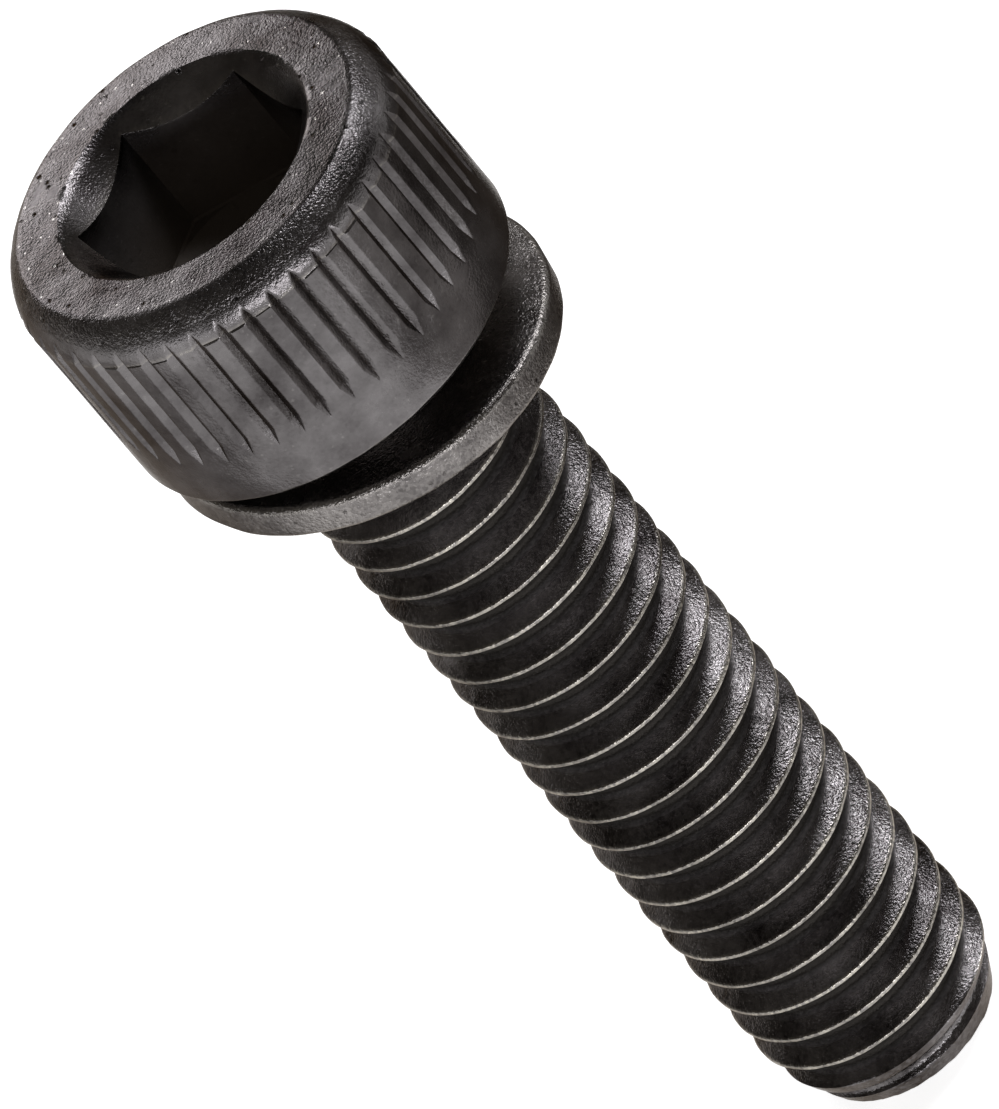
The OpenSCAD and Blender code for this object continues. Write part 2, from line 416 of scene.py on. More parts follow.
def oxide_colour(tree, pattern, dark, light, shade_paint):
    """Dark and light clouds, with bright points, pits, rubbed edges and painted shade over them."""
    cell = pattern["cell"].outputs
    cloudy = add(tree, "ShaderNodeMapRange", {
        "Value": pattern["clouds"], "From Min": CLOUD_DARK, "From Max": CLOUD_LIGHT})
    speckled = add(tree, MATH, [
        add(tree, MATH, [cell["Y"], 0.5], operation="SUBTRACT"),
        add(tree, MATH, [pattern["grainy"], SPECKLE], operation="MULTIPLY")],
        operation="MULTIPLY")
    share = add(tree, MATH, [cloudy, speckled], operation="ADD", use_clamp=True)
    patchy = add(tree, "ShaderNodeMapRange", {
        "Value": cell["Z"], "To Min": RUB_IN_GRAIN, "To Max": 1.0})
    uneven = add(tree, "ShaderNodeMapRange", {
        "Value": pattern["clouds"], "From Min": WEAR_CLOUDS[0], "From Max": WEAR_CLOUDS[1],
        "To Min": RUB_IN_CLOUD, "To Max": 1.0})
    edge = add(tree, MATH, [pattern["rubbed"], patchy], operation="MULTIPLY")
    edge = add(tree, MATH, [edge, uneven], operation="MULTIPLY")
    layers = (
        (share, light),
        (pattern["spark"], SPARK),
        (pattern["pit"], PIT),
        (edge, RUBBED),
        # The last layer is the painted shade in the hollows
        (pattern["painted_shade"], shade_paint),
    )
    paint = linear(dark)
    for amount, colour in layers:
        mix = add(tree, "ShaderNodeMix", {0: amount, 6: paint, 7: linear(colour)},
                  data_type="RGBA")
        paint = mix.outputs[2]
    return paint


def oxide_relief(tree, pattern, grain_depth_mm):
    """The bump of the grain, deepest where the skin is grainy, and of the pits."""
    height = add(tree, MATH, [pattern["grain"], GRAIN_RIM, pattern["flecks"]],
                 operation="MULTIPLY_ADD")
    deep = add(tree, "ShaderNodeMapRange", {
        "Value": pattern["grainy"], "To Min": SMOOTH_DEPTH * grain_depth_mm * MM,
        "To Max": grain_depth_mm * MM})
    bump = add(tree, "ShaderNodeBump", {
        "Strength": 1.0, "Distance": deep, "Height": height})
    return add(tree, "ShaderNodeBump", {
        "Strength": 1.0, "Distance": -PIT_DEPTH_MM * MM, "Height": pattern["pit"],
        "Normal": bump})


# %% Black oxide material


def black_oxide(name, dark, light, shade_paint, rough, grain_depth_mm):
    """Blackened steel: a dark metal that painted shade turns to a rough non-metal."""
    material, out = new_material(name)
    tree = material.node_tree
    pattern = oxide_patterns(tree)
    dull = add(tree, "ShaderNodeMapRange", {
        "Value": pattern["clouds"], "From Min": GLOSS_CLOUDS[0],
        "From Max": GLOSS_CLOUDS[1],
        "To Min": rough + GLOSSY_CLOUD, "To Max": rough + DULL_CLOUD})
    dull = add(tree, MATH, [pattern["grainy"], GRAINY_ROUGH, dull], operation="MULTIPLY_ADD")
    # Painted shade makes the hollows rough and takes their metal look away, so they mirror no lamp
    dull = add(tree, MATH, [pattern["painted_shade"], SHADE_ROUGH, dull], operation="MULTIPLY_ADD")
    metal = add(tree, MATH, [pattern["painted_shade"], -SHADE_DULL, 1.0], operation="MULTIPLY_ADD")
    skin = add(tree, "ShaderNodeBsdfPrincipled", {
        "Base Color": oxide_colour(tree, pattern, dark, light, shade_paint),
        "Metallic": metal,
        "Roughness": dull,
        "Specular Tint": linear(GLANCING),
        "Normal": oxide_relief(tree, pattern, grain_depth_mm)})
    tree.links.new(skin.outputs[0], out.inputs["Surface"])
    return material


# Forged and turned, then tumbled: a satin dark grey, with dull grey painted shade in the socket
head_steel = black_oxide(
    "black oxide on forged steel", dark="#403D3D", light="#7F7C7C", shade_paint="#625B54",
    rough=0.23, grain_depth_mm=0.028)
# Rolled between dies, which press it smooth: blacker and glossier, with black painted shade in the roots
thread_steel = black_oxide(
    "black oxide on rolled steel", dark="#363333", light="#868383", shade_paint="#1B1917",
    rough=0.19, grain_depth_mm=0.024)
# Drawn and coiled spring wire, tumbled hard: a lighter and duller grey
washer_steel = black_oxide(
    "black oxide on spring steel", dark="#565352", light="#9A9693", shade_paint="#1F1C1A",
    rough=0.24, grain_depth_mm=0.028)
print("finishes:", [steel.name for steel in (head_steel, thread_steel, washer_steel)])

# %% [markdown]
# ## Wear and dents
# Tumbling rubs the oxide off whatever sticks out and leaves shallow dents everywhere. Wear
# could be painted by hand, but the mesh knows its own edges: a point whose normal leans away
# from its neighbours sticks out. The shares are stored as attributes, which the finish reads.

# %% Wear, dents and marks
# Edges shorter than this, in metres, have no direction
NO_LENGTH = 1e-9


def ramp(value, start, full):
    """Nothing at start and one at full, and straight between them."""
    return min(1.0, max(0.0, (value - start) / (full - start)))


def rub_edges(piece, from_bend, full_bend):
    """Store as "rubbed" how sharply each point sticks out, between two bends in 1/mm."""
    mesh = piece.data
    normals = [v.normal.copy() for v in mesh.vertices]
    bends = [0.0] * len(normals)
    for edge in mesh.edges:
        a, b = edge.vertices
        step = mesh.vertices[a].co - mesh.vertices[b].co
        if step.length > NO_LENGTH:
            for i, way in ((a, step), (b, -step)):
                bend = 2 * normals[i].dot(way) / step.length_squared * MM
                bends[i] = max(bends[i], bend)
    layer = mesh.attributes.new("rubbed", "FLOAT", "POINT")
    layer.data.foreach_set("value", [ramp(bend, from_bend, full_bend) for bend in bends])


def dent(piece, depth_mm, size_mm):
    """Press shallow dents of a size into a piece, inwards only."""
    points = piece.data.vertices
    moved = []
    for co, normal in [(p.co.copy(), p.normal.copy()) for p in points]:
        hollow = noise.noise(co / (size_mm * MM)) * 0.5 + 0.5
        moved.extend(co - normal * hollow * depth_mm * MM)
    points.foreach_set("co", moved)
    piece.data.update()


def mark(piece, name, share):
    """Store a share under a name: one number, or a function of radius and height in mm."""
    points = piece.data.vertices
    if callable(share):
        values = [share(p.co.xy.length / MM, p.co.z / MM) for p in points]
    else:
        values = [share] * len(points)
    layer = piece.data.attributes.new(name, "FLOAT", "POINT")
    layer.data.foreach_set("value", values)


# %% [markdown]
# ## The head
# The head is forged in one blow with its socket, and its outside is turned and knurled. One
# outline runs from the socket's floor up the wall, out over the top and down the side to the
# neck. Most of it is round, but the socket's wall follows a hexagon, so each ring of points
# asks for its radius at every angle.

# %% Head sizes
HEAD_R = cad_high.x / MM
HEAD_TOP = cad_high.z / MM
SHANK_LEN = 24.8
FOOT_CHAMFER = 0.22
SOCKET_AF = 5.02
SOCKET_DEPTH = 3.3
SOCKET_TURN = 41.8
# Half the angle of the drill's point, from the axis
DRILL_ANGLE = 60
MOUTH_R = 3.2
NECK_R = 2.6
NECK_FILLET = 0.2
THREAD_TOP = 22.2
# How far the neck's end reaches past the thread's top, inside its collar
TUCK = 0.1
# How much the top falls towards its edge, and where the round shoulder starts and bends
CROWN = 0.03
BEVEL_W = 0.64
BEVEL_FROM = HEAD_R - BEVEL_W
SHOULDER_BEND = (HEAD_R - 0.14, HEAD_TOP - 0.35)
SHOULDER_END = HEAD_TOP - 0.95
GROOVES = 46
GROOVE_TURN = 7.2
GROOVE_LOW = HEAD_TOP - 4.35
GROOVE_RUNOUT = 0.5
COLUMNS = GROOVES * 24
# Radius that an edge is rounded to, and how far its middle point stands in from the corner
ROUND_R = 0.04
ROUND_MID = ROUND_R * 0.4
# Where rings lie on the floor, from its middle to its rim, and on the mouth's cone
FLOOR_RINGS = (0.33, 0.66, 1)
CONE_RINGS = (0.35, 0.7)

# %% Socket


def hexagon_radius(angle):
    """Radius of the hexagon socket's wall at an angle, in degrees."""
    from_flat = (angle - SOCKET_TURN) % 60 - 30
    return SOCKET_AF / 2 / math.cos(math.radians(from_flat))


def socket_rings():
    """The drilled floor, the six walls and the start of the mouth's cone, from the middle out.

    Each ring is a function that gives radius and height at an angle.
    """
    floor_z = HEAD_TOP - SOCKET_DEPTH
    drill_r = SOCKET_AF / 2
    slope = 1 / math.tan(math.radians(DRILL_ANGLE))
    rings = [lambda a, s=s: (drill_r * s, floor_z - drill_r * (1 - s) * slope)
             for s in FLOOR_RINGS]
    rings.append(lambda a: (hexagon_radius(a) - ROUND_R, floor_z))
    rings.append(lambda a: (hexagon_radius(a), floor_z + ROUND_R))
    mouth_z = HEAD_TOP - MOUTH_R
    rings.append(lambda a: (hexagon_radius(a), mouth_z + hexagon_radius(a) - ROUND_R))
    rings.append(lambda a: (hexagon_radius(a) + ROUND_MID,
                            mouth_z + hexagon_radius(a) + ROUND_MID))
    for s in CONE_RINGS:
        rings.append(lambda a, s=s: (
            hexagon_radius(a) * (1 - s) + MOUTH_R * s,
            mouth_z + hexagon_radius(a) * (1 - s) + MOUTH_R * s))
    return rings


# %% Top and side
TOP_STEPS = 10
SHOULDER_ROWS = 14
# The shoulder's first row stands this share of a row closer to the flat
FIRST_ROW = 0.4
# Rows on the side: close together where each land steps back, and wide below that
LAND_FROM = HEAD_TOP - 0.974
LAND_ROW = 0.022
LAND_ROWS = 9
SIDE_FROM = HEAD_TOP - 1.2
SIDE_ROW = 0.33
SIDE_ROWS = 8
# Rows over the runout, as shares of it: they start above it and end below it
RUNOUT_ROWS = 14
RUNOUT_FROM = 1.15
RUNOUT_SPAN = 1.2
FILLET_STEPS = 6


def top_outline():
    """The flat round the mouth, which falls a little outwards, and the round shoulder."""
    inner = MOUTH_R + ROUND_R
    outer = BEVEL_FROM - ROUND_R / 2
    points = [(MOUTH_R - ROUND_R, HEAD_TOP - ROUND_R)]
    for i in range(TOP_STEPS + 1):
        share = i / TOP_STEPS
        points.append((inner + (outer - inner) * share, HEAD_TOP - CROWN * share))
    start = Vector((BEVEL_FROM, HEAD_TOP - CROWN))
    bend = Vector(SHOULDER_BEND)
    end = Vector((HEAD_R, SHOULDER_END))
    for i in range(1, SHOULDER_ROWS + 1):
        share = (i - FIRST_ROW) / (SHOULDER_ROWS - FIRST_ROW)
        mid = start * (1 - share) ** 2 + bend * 2 * share * (1 - share) + end * share ** 2
        points.append((mid.x, mid.y))
    return points


def side_outline():
    """The side, with close rows where the grooves run out, and the way in to the neck."""
    heights = [LAND_FROM - LAND_ROW * i for i in range(LAND_ROWS)]
    heights += [SIDE_FROM - SIDE_ROW * i for i in range(SIDE_ROWS)]
    for i in range(RUNOUT_ROWS + 1):
        share = RUNOUT_FROM - RUNOUT_SPAN * i / RUNOUT_ROWS
        heights.append(GROOVE_LOW + GROOVE_RUNOUT * share)
    low = SHANK_LEN + FOOT_CHAMFER
    heights += [(GROOVE_LOW + low) / 2, low + ROUND_R]
    points = [(HEAD_R, z) for z in heights]
    points += [
        (HEAD_R - ROUND_MID, low - ROUND_MID),
        (HEAD_R - FOOT_CHAMFER + ROUND_MID, SHANK_LEN + ROUND_MID),
        (HEAD_R - FOOT_CHAMFER - ROUND_R, SHANK_LEN),
        (NECK_R + NECK_FILLET, SHANK_LEN),
    ]
    for i in range(1, FILLET_STEPS + 1):
        a = math.radians(90 * i / FILLET_STEPS)
        points.append((NECK_R + NECK_FILLET * (1 - math.sin(a)),
                       SHANK_LEN - NECK_FILLET * (1 - math.cos(a))))
    points.append((NECK_R, THREAD_TOP + TUCK))
    points.append((NECK_R - 2 * TUCK, THREAD_TOP - TUCK))
    return points


# %% Head mesh


def head_rings():
    """All rings of the head, from the middle of the socket's floor to the neck's end."""
    plain = top_outline() + side_outline()
    return socket_rings() + [lambda a, p=p: p for p in plain]


def ring_mesh(name, rings, columns, first_angle, pole_z, end_z):
    """A closed mesh from rings of points, with a point on the axis at each end."""
    points = []
    for ring in rings:
        for c in range(columns):
            angle = first_angle + 360 * c / columns
            radius, height = ring(angle)
            points.append((radius * MM * math.cos(math.radians(angle)),
                           radius * MM * math.sin(math.radians(angle)), height * MM))
    pole = len(points)
    points += [(0, 0, pole_z * MM), (0, 0, end_z * MM)]
    faces = []
    for c in range(columns):
        d = (c + 1) % columns
        faces.append((pole, c, d))
        for r in range(len(rings) - 1):
            a = r * columns
            b = a + columns
            faces.append((a + c, b + c, b + d, a + d))
        last = (len(rings) - 1) * columns
        faces.append((last + c, pole + 1, last + d))
    mesh = bpy.data.meshes.new(name)
    mesh.from_pydata(points, [], faces)
    mesh.update()
    return mesh


drill_tip_z = HEAD_TOP - SOCKET_DEPTH - SOCKET_AF / 2 / math.tan(math.radians(DRILL_ANGLE))
head_mesh = ring_mesh("screw_head", head_rings(), COLUMNS, GROOVE_TURN, drill_tip_z,
                      THREAD_TOP - TUCK)
head = bpy.data.objects.new("screw_head", head_mesh)
bpy.context.scene.collection.objects.link(head)
print("head faces:", len(head_mesh.polygons))

# %% [markdown]
# ## The knurl
# A wheel rolls straight V grooves into the head. Geometry Nodes press them in: for every
# point they find the nearest groove's middle line, work out how deep the V is there, and
# push the point inwards to that radius if it stands further out. The wheel also leaves each
# land a little lower above its own edge, which no two lands have at the same height.

# %% Geometry Nodes helpers


def new_tree(name, sizes):
    """A node group with a geometry input and output and named sizes, in metres."""
    tree = bpy.data.node_groups.new(name, "GeometryNodeTree")
    faces = tree.interface
    faces.new_socket("Geometry", in_out="INPUT", socket_type="NodeSocketGeometry")
    for label, value in sizes.items():
        kind = "NodeSocketInt" if isinstance(value, int) else "NodeSocketFloat"
        faces.new_socket(label, in_out="INPUT", socket_type=kind)
    faces.new_socket("Material", in_out="INPUT", socket_type="NodeSocketMaterial")
    faces.new_socket("Geometry", in_out="OUTPUT", socket_type="NodeSocketGeometry")
    return tree, add(tree, "NodeGroupInput").outputs


def end_tree(tree, shape, sizes_in):
    """Close a tree with Realize Instances and Set Material."""
    real = add(tree, "GeometryNodeRealizeInstances", [shape])
    painted = add(tree, "GeometryNodeSetMaterial", {
        "Geometry": real, "Material": sizes_in["Material"]})
    add(tree, "NodeGroupOutput", [painted])


def run_tree(piece, tree, sizes, material):
    """Run the tree on a piece, and keep the result as its plain mesh."""
    modifier = piece.modifiers.new(tree.name, "NODES")
    modifier.node_group = tree
    for item in tree.interface.items_tree:
        if item.in_out == "INPUT" and item.name in sizes:
            modifier[item.identifier] = sizes[item.name]
        if item.in_out == "INPUT" and item.name == "Material":
            modifier[item.identifier] = material
    bpy.context.view_layer.update()
    graph = bpy.context.evaluated_depsgraph_get()
    made = bpy.data.meshes.new_from_object(piece.evaluated_get(graph))
    piece.modifiers.clear()
    piece.data = made
    made.name = piece.name
    for face in made.polygons:
        face.use_smooth = True
    print(piece.name, "faces:", len(made.polygons))
    return piece


def crisp(piece, angle):
    """Smooth shading with edges sharper than the angle kept sharp."""
    piece.data.set_sharp_from_angle(angle=math.radians(angle))


# %% Knurl sizes
KNURL = {
    "Count": GROOVES,
    "Radius": HEAD_R * MM,
    "Depth": 0.13 * MM,
    "Width": 0.31 * MM,
    "Bottom": GROOVE_LOW * MM,
    "Runout": GROOVE_RUNOUT * MM,
    "Turn": math.radians(GROOVE_TURN),
    "Unevenness": 0.12,
    "Step": 0.035 * MM,
    "Step height": (HEAD_TOP - 1.0) * MM,
    "Step spread": 0.15 * MM,
    "Step slope": 0.03 * MM,
    "Seed": 5,
}
# Points nearer to the axis than this, in metres, count as this far from it
ON_AXIS = 1e-7

# %% Knurl tree


def knurl_tree():
    """Press V grooves and stepped lands into whatever stands outside them."""
    tree, size = new_tree("roll the knurl", KNURL)
    place = add(tree, "GeometryNodeInputPosition")
    xyz = add(tree, "ShaderNodeSeparateXYZ", [place])
    radius = add(tree, MATH, [
        add(tree, MATH, [xyz.outputs["X"], xyz.outputs["X"]], operation="MULTIPLY"),
        add(tree, MATH, [xyz.outputs["Y"], xyz.outputs["Y"]], operation="MULTIPLY"),
    ], operation="ADD")
    radius = add(tree, MATH, [radius, 0.5], operation="POWER")
    angle = add(tree, MATH, [xyz.outputs["Y"], xyz.outputs["X"]], operation="ARCTAN2")
    turned = add(tree, MATH, [angle, size["Turn"]], operation="SUBTRACT")
    around = add(tree, MATH, [turned, size["Count"]], operation="MULTIPLY")
    # How far the point is from the middle of the nearest groove, along the arc
    folded = add(tree, MATH, [around, math.pi, -math.pi], operation="WRAP")
    from_middle = add(tree, MATH, [folded], operation="ABSOLUTE")
    arc = add(tree, MATH, [from_middle, size["Radius"]], operation="MULTIPLY")
    arc = add(tree, MATH, [arc, size["Count"]], operation="DIVIDE")
    slope = add(tree, MATH, [size["Depth"], size["Width"]], operation="DIVIDE")
    slope = add(tree, MATH, [slope, 2.0], operation="MULTIPLY")
    rise = add(tree, MATH, [arc, slope], operation="MULTIPLY")
    # Each groove has a chance number of its own, which makes it shallower and shorter
    number = add(tree, MATH, [around, 2 * math.pi], operation="DIVIDE")
    number = add(tree, MATH, [number], operation="ROUND")
    chance = add(tree, "FunctionNodeRandomValue", {
        "ID": number, "Seed": size["Seed"]}, data_type="FLOAT").outputs[1]
    uneven = add(tree, MATH, [chance, size["Unevenness"]], operation="MULTIPLY")
    bottom = add(tree, MATH, [uneven, size["Runout"], size["Bottom"]], operation="MULTIPLY_ADD")
    along = add(tree, "ShaderNodeMapRange", {
        "Value": xyz.outputs["Z"], "From Min": bottom,
        "From Max": add(tree, MATH, [bottom, size["Runout"]], operation="ADD")})
    share = add(tree, MATH, [1.0, uneven], operation="SUBTRACT")
    deep = add(tree, MATH, [along, size["Depth"]], operation="MULTIPLY")
    deep = add(tree, MATH, [deep, share], operation="MULTIPLY")
    cut = add(tree, MATH, [deep, rise], operation="SUBTRACT")
    cut = add(tree, MATH, [cut, 0.0], operation="MAXIMUM")
    left = add(tree, MATH, [size["Radius"], cut], operation="SUBTRACT")
    kept = add(tree, MATH, [left, radius], operation="MINIMUM")
    # Each land steps back above an edge of its own height
    land = add(tree, MATH, [around, 2 * math.pi], operation="DIVIDE")
    land = add(tree, MATH, [land], operation="FLOOR")
    chance = add(tree, "FunctionNodeRandomValue", {
        "ID": land, "Seed": size["Seed"]}, data_type="FLOAT").outputs[1]
    edge = add(tree, MATH, [chance, size["Step spread"], size["Step height"]],
               operation="MULTIPLY_ADD")
    above = add(tree, "ShaderNodeMapRange", {
        "Value": xyz.outputs["Z"], "From Min": edge,
        "From Max": add(tree, MATH, [edge, size["Step slope"]], operation="ADD")})
    sunk = add(tree, MATH, [above, size["Step"]], operation="MULTIPLY")
    shoulder = add(tree, MATH, [size["Radius"], sunk], operation="SUBTRACT")
    kept = add(tree, MATH, [kept, shoulder], operation="MINIMUM")
    scale = add(tree, MATH, [kept, add(tree, MATH, [radius, ON_AXIS], operation="MAXIMUM")],
                operation="DIVIDE")
    moved = add(tree, "ShaderNodeCombineXYZ", [
        add(tree, MATH, [xyz.outputs["X"], scale], operation="MULTIPLY"),
        add(tree, MATH, [xyz.outputs["Y"], scale], operation="MULTIPLY"),
        xyz.outputs["Z"],
    ])
    shape = add(tree, "GeometryNodeSetPosition", {
        "Geometry": size["Geometry"], "Position": moved})
    end_tree(tree, shape, size)
    return tree


# %% [markdown]
# ## Finish the head
# The edges are found before the knurl is pressed in, so that the rubbed share stays on the
# turned outline. Then come the dents, and the marks that tell the finish which skin is where:
# a smooth cone at the mouth, a pitted top, a coarse shoulder and a smooth side, and painted
# shade deep in the socket.

# %% Head skin
# The height under which the side's skin starts
SIDE_SKIN = HEAD_TOP - 0.45
# Painted shade lies inside this radius, and is full from the second of these heights down
SOCKET_SHADE_R = SOCKET_AF * 0.58
SOCKET_SHADE_FROM = HEAD_TOP - 0.6
SOCKET_SHADE_FULL = HEAD_TOP - 1.4


def on_top(cone, top, bevel, side):
    """A function that gives one share each on the mouth's cone, the top, its bevel and below."""
    def share(radius, height):
        if radius < MOUTH_R - ROUND_R:
            return cone
        if height < SIDE_SKIN:
            return side
        return bevel if radius > BEVEL_FROM else top
    return share


def socket_painted_shade(radius, height):
    """Painted shade: nothing on the mouth's cone, and full on the walls below it."""
    if radius > SOCKET_SHADE_R or height < SHANK_LEN:
        return 0.0
    return ramp(height, SOCKET_SHADE_FROM, SOCKET_SHADE_FULL)


rub_edges(head, from_bend=6, full_bend=20)
run_tree(head, knurl_tree(), KNURL, head_steel)
dent(head, depth_mm=0.018, size_mm=0.5)
mark(head, "grainy", on_top(cone=0.1, top=0.2, bevel=0.5, side=0.12))
mark(head, "forged", on_top(cone=0.25, top=1.0, bevel=0.8, side=0.15))
# Painted shade: the socket's walls turn dull, so that they mirror no lamp and stay dark
mark(head, "painted_shade", socket_painted_shade)
crisp(head, angle=28)

# %% [markdown]
# ## The thread
# Rolling presses a 60 degree profile into the shank, and it climbs one pitch in each turn.
# It could be a profile swept along a helix, but such sweeps leave a gap between one turn and
# the next. Here a flat grid is wrapped into the helix: across the grid one pitch of the
# profile, and along it all the turns. At both ends the height is held and the radius shrinks
# to the axis, which closes the mesh with a flat face.

# %% Thread sizes
THREAD = {
    "Steps": 110,
    "Rows": 26,
    "Row spread": 1.4,
    "Pitch": 1.0 * MM,
    "Crest radius": 2.93 * MM,
    "Root radius": 2.39 * MM,
    "Crest width": 0.10 * MM,
    "Root width": 0.16 * MM,
    "Rounding": 0.03 * MM,
    "Tip radius": 2.33 * MM,
    "Taper": 1.4 * MM,
    "Top": THREAD_TOP * MM,
    "Collar radius": 2.66 * MM,
    "Runout": 0.8 * MM,
    "Turn": math.radians(36),
    "Weld": 0.001 * MM,
}
# Turns beyond the thread's own length that close its two ends, and how many lie below it
END_TURNS = 3.0
LOW_TURNS = 2.0

# %% Thread tree


def thread_tree():
    """Wrap a grid into the thread. Its rows crowd at the crest, where the profile bends."""
    tree, size = new_tree("wrap the thread", THREAD)
    turns = add(tree, MATH, [
        add(tree, MATH, [size["Top"], size["Pitch"]], operation="DIVIDE"), END_TURNS],
        operation="ADD")
    cells = add(tree, MATH, [turns, size["Steps"]], operation="MULTIPLY")
    grid = add(tree, "GeometryNodeMeshGrid", {
        "Size X": 1.0, "Size Y": 1.0,
        "Vertices X": add(tree, MATH, [cells, 1.0], operation="ADD"),
        "Vertices Y": add(tree, MATH, [size["Rows"], 1.0], operation="ADD")})
    # Shares along the grid and across it, from 0 to 1
    xyz = add(tree, "ShaderNodeSeparateXYZ", [add(tree, "GeometryNodeInputPosition")])
    u = add(tree, MATH, [xyz.outputs["X"], 0.5], operation="ADD")
    across = add(tree, MATH, [xyz.outputs["Y"], 2.0], operation="MULTIPLY")
    spread = add(tree, MATH, [
        add(tree, MATH, [across], operation="ABSOLUTE"), size["Row spread"]],
        operation="POWER")
    side = add(tree, MATH, [across], operation="SIGN")
    v = add(tree, MATH, [
        add(tree, MATH, [side, spread], operation="MULTIPLY"), 0.5, 0.5],
        operation="MULTIPLY_ADD")
    turn = add(tree, MATH, [add(tree, MATH, [u, turns], operation="MULTIPLY"), LOW_TURNS],
               operation="SUBTRACT")
    height = add(tree, MATH, [add(tree, MATH, [turn, v], operation="ADD"), size["Pitch"]],
                 operation="MULTIPLY")
    angle = add(tree, MATH, [turn, 2 * math.pi, size["Turn"]], operation="MULTIPLY_ADD")
    # The profile: two flats with a straight flank between them, and rounded corners
    from_crest = add(tree, MATH, [
        add(tree, MATH, [add(tree, MATH, [v, 0.5], operation="SUBTRACT")], operation="ABSOLUTE"),
        size["Pitch"]], operation="MULTIPLY")
    depth = add(tree, MATH, [size["Crest radius"], size["Root radius"]], operation="SUBTRACT")
    flats = add(tree, MATH, [size["Crest width"], size["Root width"]], operation="ADD")
    flank = add(tree, MATH, [
        add(tree, MATH, [size["Pitch"], flats], operation="SUBTRACT"), 0.5],
        operation="MULTIPLY")
    slope = add(tree, MATH, [depth, flank], operation="DIVIDE")
    down = add(tree, MATH, [
        add(tree, MATH, [size["Crest width"], -0.5, from_crest], operation="MULTIPLY_ADD"),
        slope], operation="MULTIPLY")
    line = add(tree, MATH, [size["Crest radius"], down], operation="SUBTRACT")
    crest = add(tree, MATH, [size["Crest radius"], line, size["Rounding"]],
                operation="SMOOTH_MIN")
    profile = add(tree, MATH, [crest, size["Root radius"], size["Rounding"]],
                  operation="SMOOTH_MAX")
    # The thread runs out into a collar at the top and tapers at the tip
    left = add(tree, MATH, [
        add(tree, MATH, [size["Top"], height], operation="SUBTRACT"), size["Runout"]],
        operation="DIVIDE")
    left = add(tree, MATH, [left, 0.0], operation="ADD", use_clamp=True)
    over = add(tree, MATH, [profile, size["Collar radius"]], operation="SUBTRACT")
    run = add(tree, MATH, [over, left, size["Collar radius"]], operation="MULTIPLY_ADD")
    lean = add(tree, MATH, [
        add(tree, MATH, [size["Crest radius"], size["Tip radius"]], operation="SUBTRACT"),
        size["Taper"]], operation="DIVIDE")
    low = add(tree, MATH, [height, 0.0], operation="MAXIMUM")
    taper = add(tree, MATH, [low, lean, size["Tip radius"]], operation="MULTIPLY_ADD")
    radius = add(tree, MATH, [run, taper, size["Rounding"]], operation="SMOOTH_MIN")
    # Within one pitch beyond each end the radius shrinks to the axis
    under = add(tree, MATH, [height, size["Pitch"]], operation="DIVIDE")
    under = add(tree, MATH, [under, 1.0], operation="ADD", use_clamp=True)
    beyond = add(tree, MATH, [
        add(tree, MATH, [size["Top"], height], operation="SUBTRACT"), size["Pitch"]],
        operation="DIVIDE")
    beyond = add(tree, MATH, [beyond, 1.0], operation="ADD", use_clamp=True)
    closing = add(tree, MATH, [under, beyond], operation="MULTIPLY")
    radius = add(tree, MATH, [radius, closing], operation="MULTIPLY")
    level = add(tree, MATH, [low, size["Top"]], operation="MINIMUM")
    moved = add(tree, "ShaderNodeCombineXYZ", [
        add(tree, MATH, [radius, add(tree, MATH, [angle], operation="COSINE")],
            operation="MULTIPLY"),
        add(tree, MATH, [radius, add(tree, MATH, [angle], operation="SINE")],
            operation="MULTIPLY"),
        level,
    ])
    shape = add(tree, "GeometryNodeSetPosition", {"Geometry": grid, "Position": moved})
    shape = add(tree, "GeometryNodeMergeByDistance", {
        "Geometry": shape, "Distance": size["Weld"]})
    end_tree(tree, shape, size)
    return tree


# %% Make the thread
# Radii in mm between which a crest is rubbed, and painted shade fills a root
RUB_FROM_R = 2.87
RUB_FULL_R = 2.92
ROOT_SHADE_FROM_R = 2.56
ROOT_SHADE_FULL_R = 2.44
# Heights in mm between which the painted shade starts above the tapered end
ROOT_SHADE_FROM_Z = 0.8
ROOT_SHADE_FULL_Z = 1.4


def crest_rub(radius, height):
    """Full along the thread's crest."""
    return ramp(radius, RUB_FROM_R, RUB_FULL_R)


def root_painted_shade(radius, height):
    """Painted shade: full at the bottom of the thread, and nothing on its tapered end."""
    return ramp(radius, ROOT_SHADE_FROM_R, ROOT_SHADE_FULL_R) * ramp(height, ROOT_SHADE_FROM_Z, ROOT_SHADE_FULL_Z)


thread = bpy.data.objects.new("screw_thread", bpy.data.meshes.new("screw_thread"))
bpy.context.scene.collection.objects.link(thread)
run_tree(thread, thread_tree(), THREAD, thread_steel)
mark(thread, "rubbed", crest_rub)
# Painted black shade in the roots, where the next crest hides the floor from them
mark(thread, "painted_shade", root_painted_shade)
mark(thread, "grainy", 0.45)
mark(thread, "forged", 0.1)
dent(thread, depth_mm=0.03, size_mm=0.6)
crisp(thread, angle=50)

# %% [markdown]
# ## The spring washer
# The washer is a short piece of square wire, coiled once, cut and hardened, so one end
# stands higher than the other. An arc is lifted along its length, a rounded section is
# swept along it, and the ring is then leaned over as it hangs on the neck.

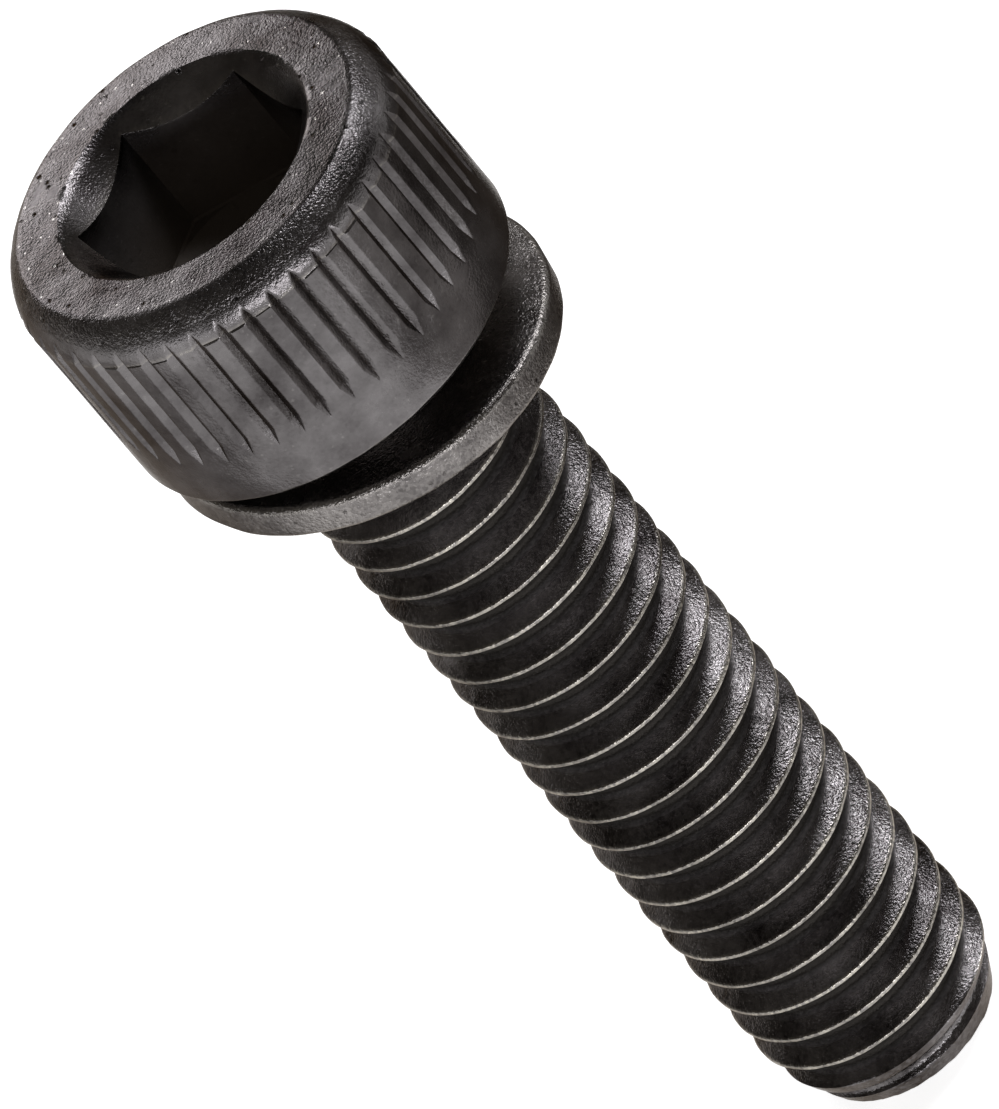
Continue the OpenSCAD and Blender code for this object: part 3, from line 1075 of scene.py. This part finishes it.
# %% Washer sizes
SPLIT_AT = 70
SPLIT_W = 0.8
WASHER_R = HEAD_R - 0.13
BORE_R = 2.83
WASHER_T = 0.95
SPLIT_HALF = math.degrees(math.asin(SPLIT_W / 2 / WASHER_R))
WASHER = {
    "Steps": 180,
    "Ring radius": (WASHER_R + BORE_R) / 2 * MM,
    "Wire width": (WASHER_R - BORE_R) * MM,
    "Wire height": WASHER_T * MM,
    "Edge": 0.2 * MM,
    "Edge steps": 5,
    "Start": math.radians(SPLIT_AT + SPLIT_HALF),
    "Sweep": math.radians(360 - 2 * SPLIT_HALF),
    "Rise": 0.5 * MM,
    "Lean": math.radians(6.9),
    "Lean to": math.radians(-20),
}
# The coarse skin takes this much of the radius at the rim
RIM_W = 0.25

# %% Washer tree


def washer_tree():
    """Coil a wire, and lean the ring about the line that lies across the way it leans."""
    tree, size = new_tree("coil the washer", WASHER)
    arc = add(tree, "GeometryNodeCurveArc", {
        "Resolution": size["Steps"], "Radius": size["Ring radius"],
        "Start Angle": size["Start"], "Sweep Angle": size["Sweep"]})
    along = add(tree, "GeometryNodeSplineParameter")
    left = add(tree, MATH, [1.0, along.outputs["Factor"]], operation="SUBTRACT")
    up = add(tree, MATH, [left, size["Rise"]], operation="MULTIPLY")
    half = add(tree, MATH, [size["Wire height"], 0.5, up], operation="MULTIPLY_ADD")
    lifted = add(tree, "GeometryNodeSetPosition", {
        "Geometry": arc, "Offset": add(tree, "ShaderNodeCombineXYZ", {"Z": half})})
    lifted = add(tree, "GeometryNodeSetCurveNormal", {"Curve": lifted}, mode="Z_UP")
    wire = add(tree, "GeometryNodeCurvePrimitiveQuadrilateral", {
        "Width": size["Wire width"], "Height": size["Wire height"]})
    wire = add(tree, "GeometryNodeFilletCurve", {
        "Curve": wire, "Radius": size["Edge"], "Count": size["Edge steps"]}, mode="POLY")
    ring = add(tree, "GeometryNodeCurveToMesh", {
        "Curve": lifted, "Profile Curve": wire, "Fill Caps": True})
    back = add(tree, MATH, [0.0, size["Lean to"]], operation="SUBTRACT")
    for axis, turn in (("Z", back), ("Y", size["Lean"]), ("Z", size["Lean to"])):
        ring = add(tree, "GeometryNodeTransform", {
            "Geometry": ring, "Rotation": add(tree, "ShaderNodeCombineXYZ", {axis: turn})})
    end_tree(tree, ring, size)
    return tree


# %% Make the washer


def washer_grain(radius, height):
    """Coarse on the rim, where the washers strike each other, and fine elsewhere."""
    return 0.5 if radius > WASHER_R - RIM_W else 0.1


washer = bpy.data.objects.new("spring_washer", bpy.data.meshes.new("spring_washer"))
bpy.context.scene.collection.objects.link(washer)
run_tree(washer, washer_tree(), WASHER, washer_steel)
dent(washer, depth_mm=0.05, size_mm=0.7)
washer_top = max(p.co.z for p in washer.data.vertices)
washer.data.transform(Matrix.Translation((0, 0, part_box("washer")[1].z - washer_top)))
rub_edges(washer, from_bend=4, full_bend=12)
mark(washer, "grainy", washer_grain)
mark(washer, "forged", 0.6)
crisp(washer, angle=40)

# %% [markdown]
# ## Tie the pieces to the frame
# The head and the thread are the screw's own body. The washer rides on its own, so that it
# can turn round the neck. Each piece takes the place of its solid, which stays behind for
# collisions.

# %% Bodies
for piece in (head, thread):
    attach(piece, "screw")
    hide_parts("screw")
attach(washer, "washer")
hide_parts("washer")

bpy.context.scene.view_settings.view_transform = "Standard"
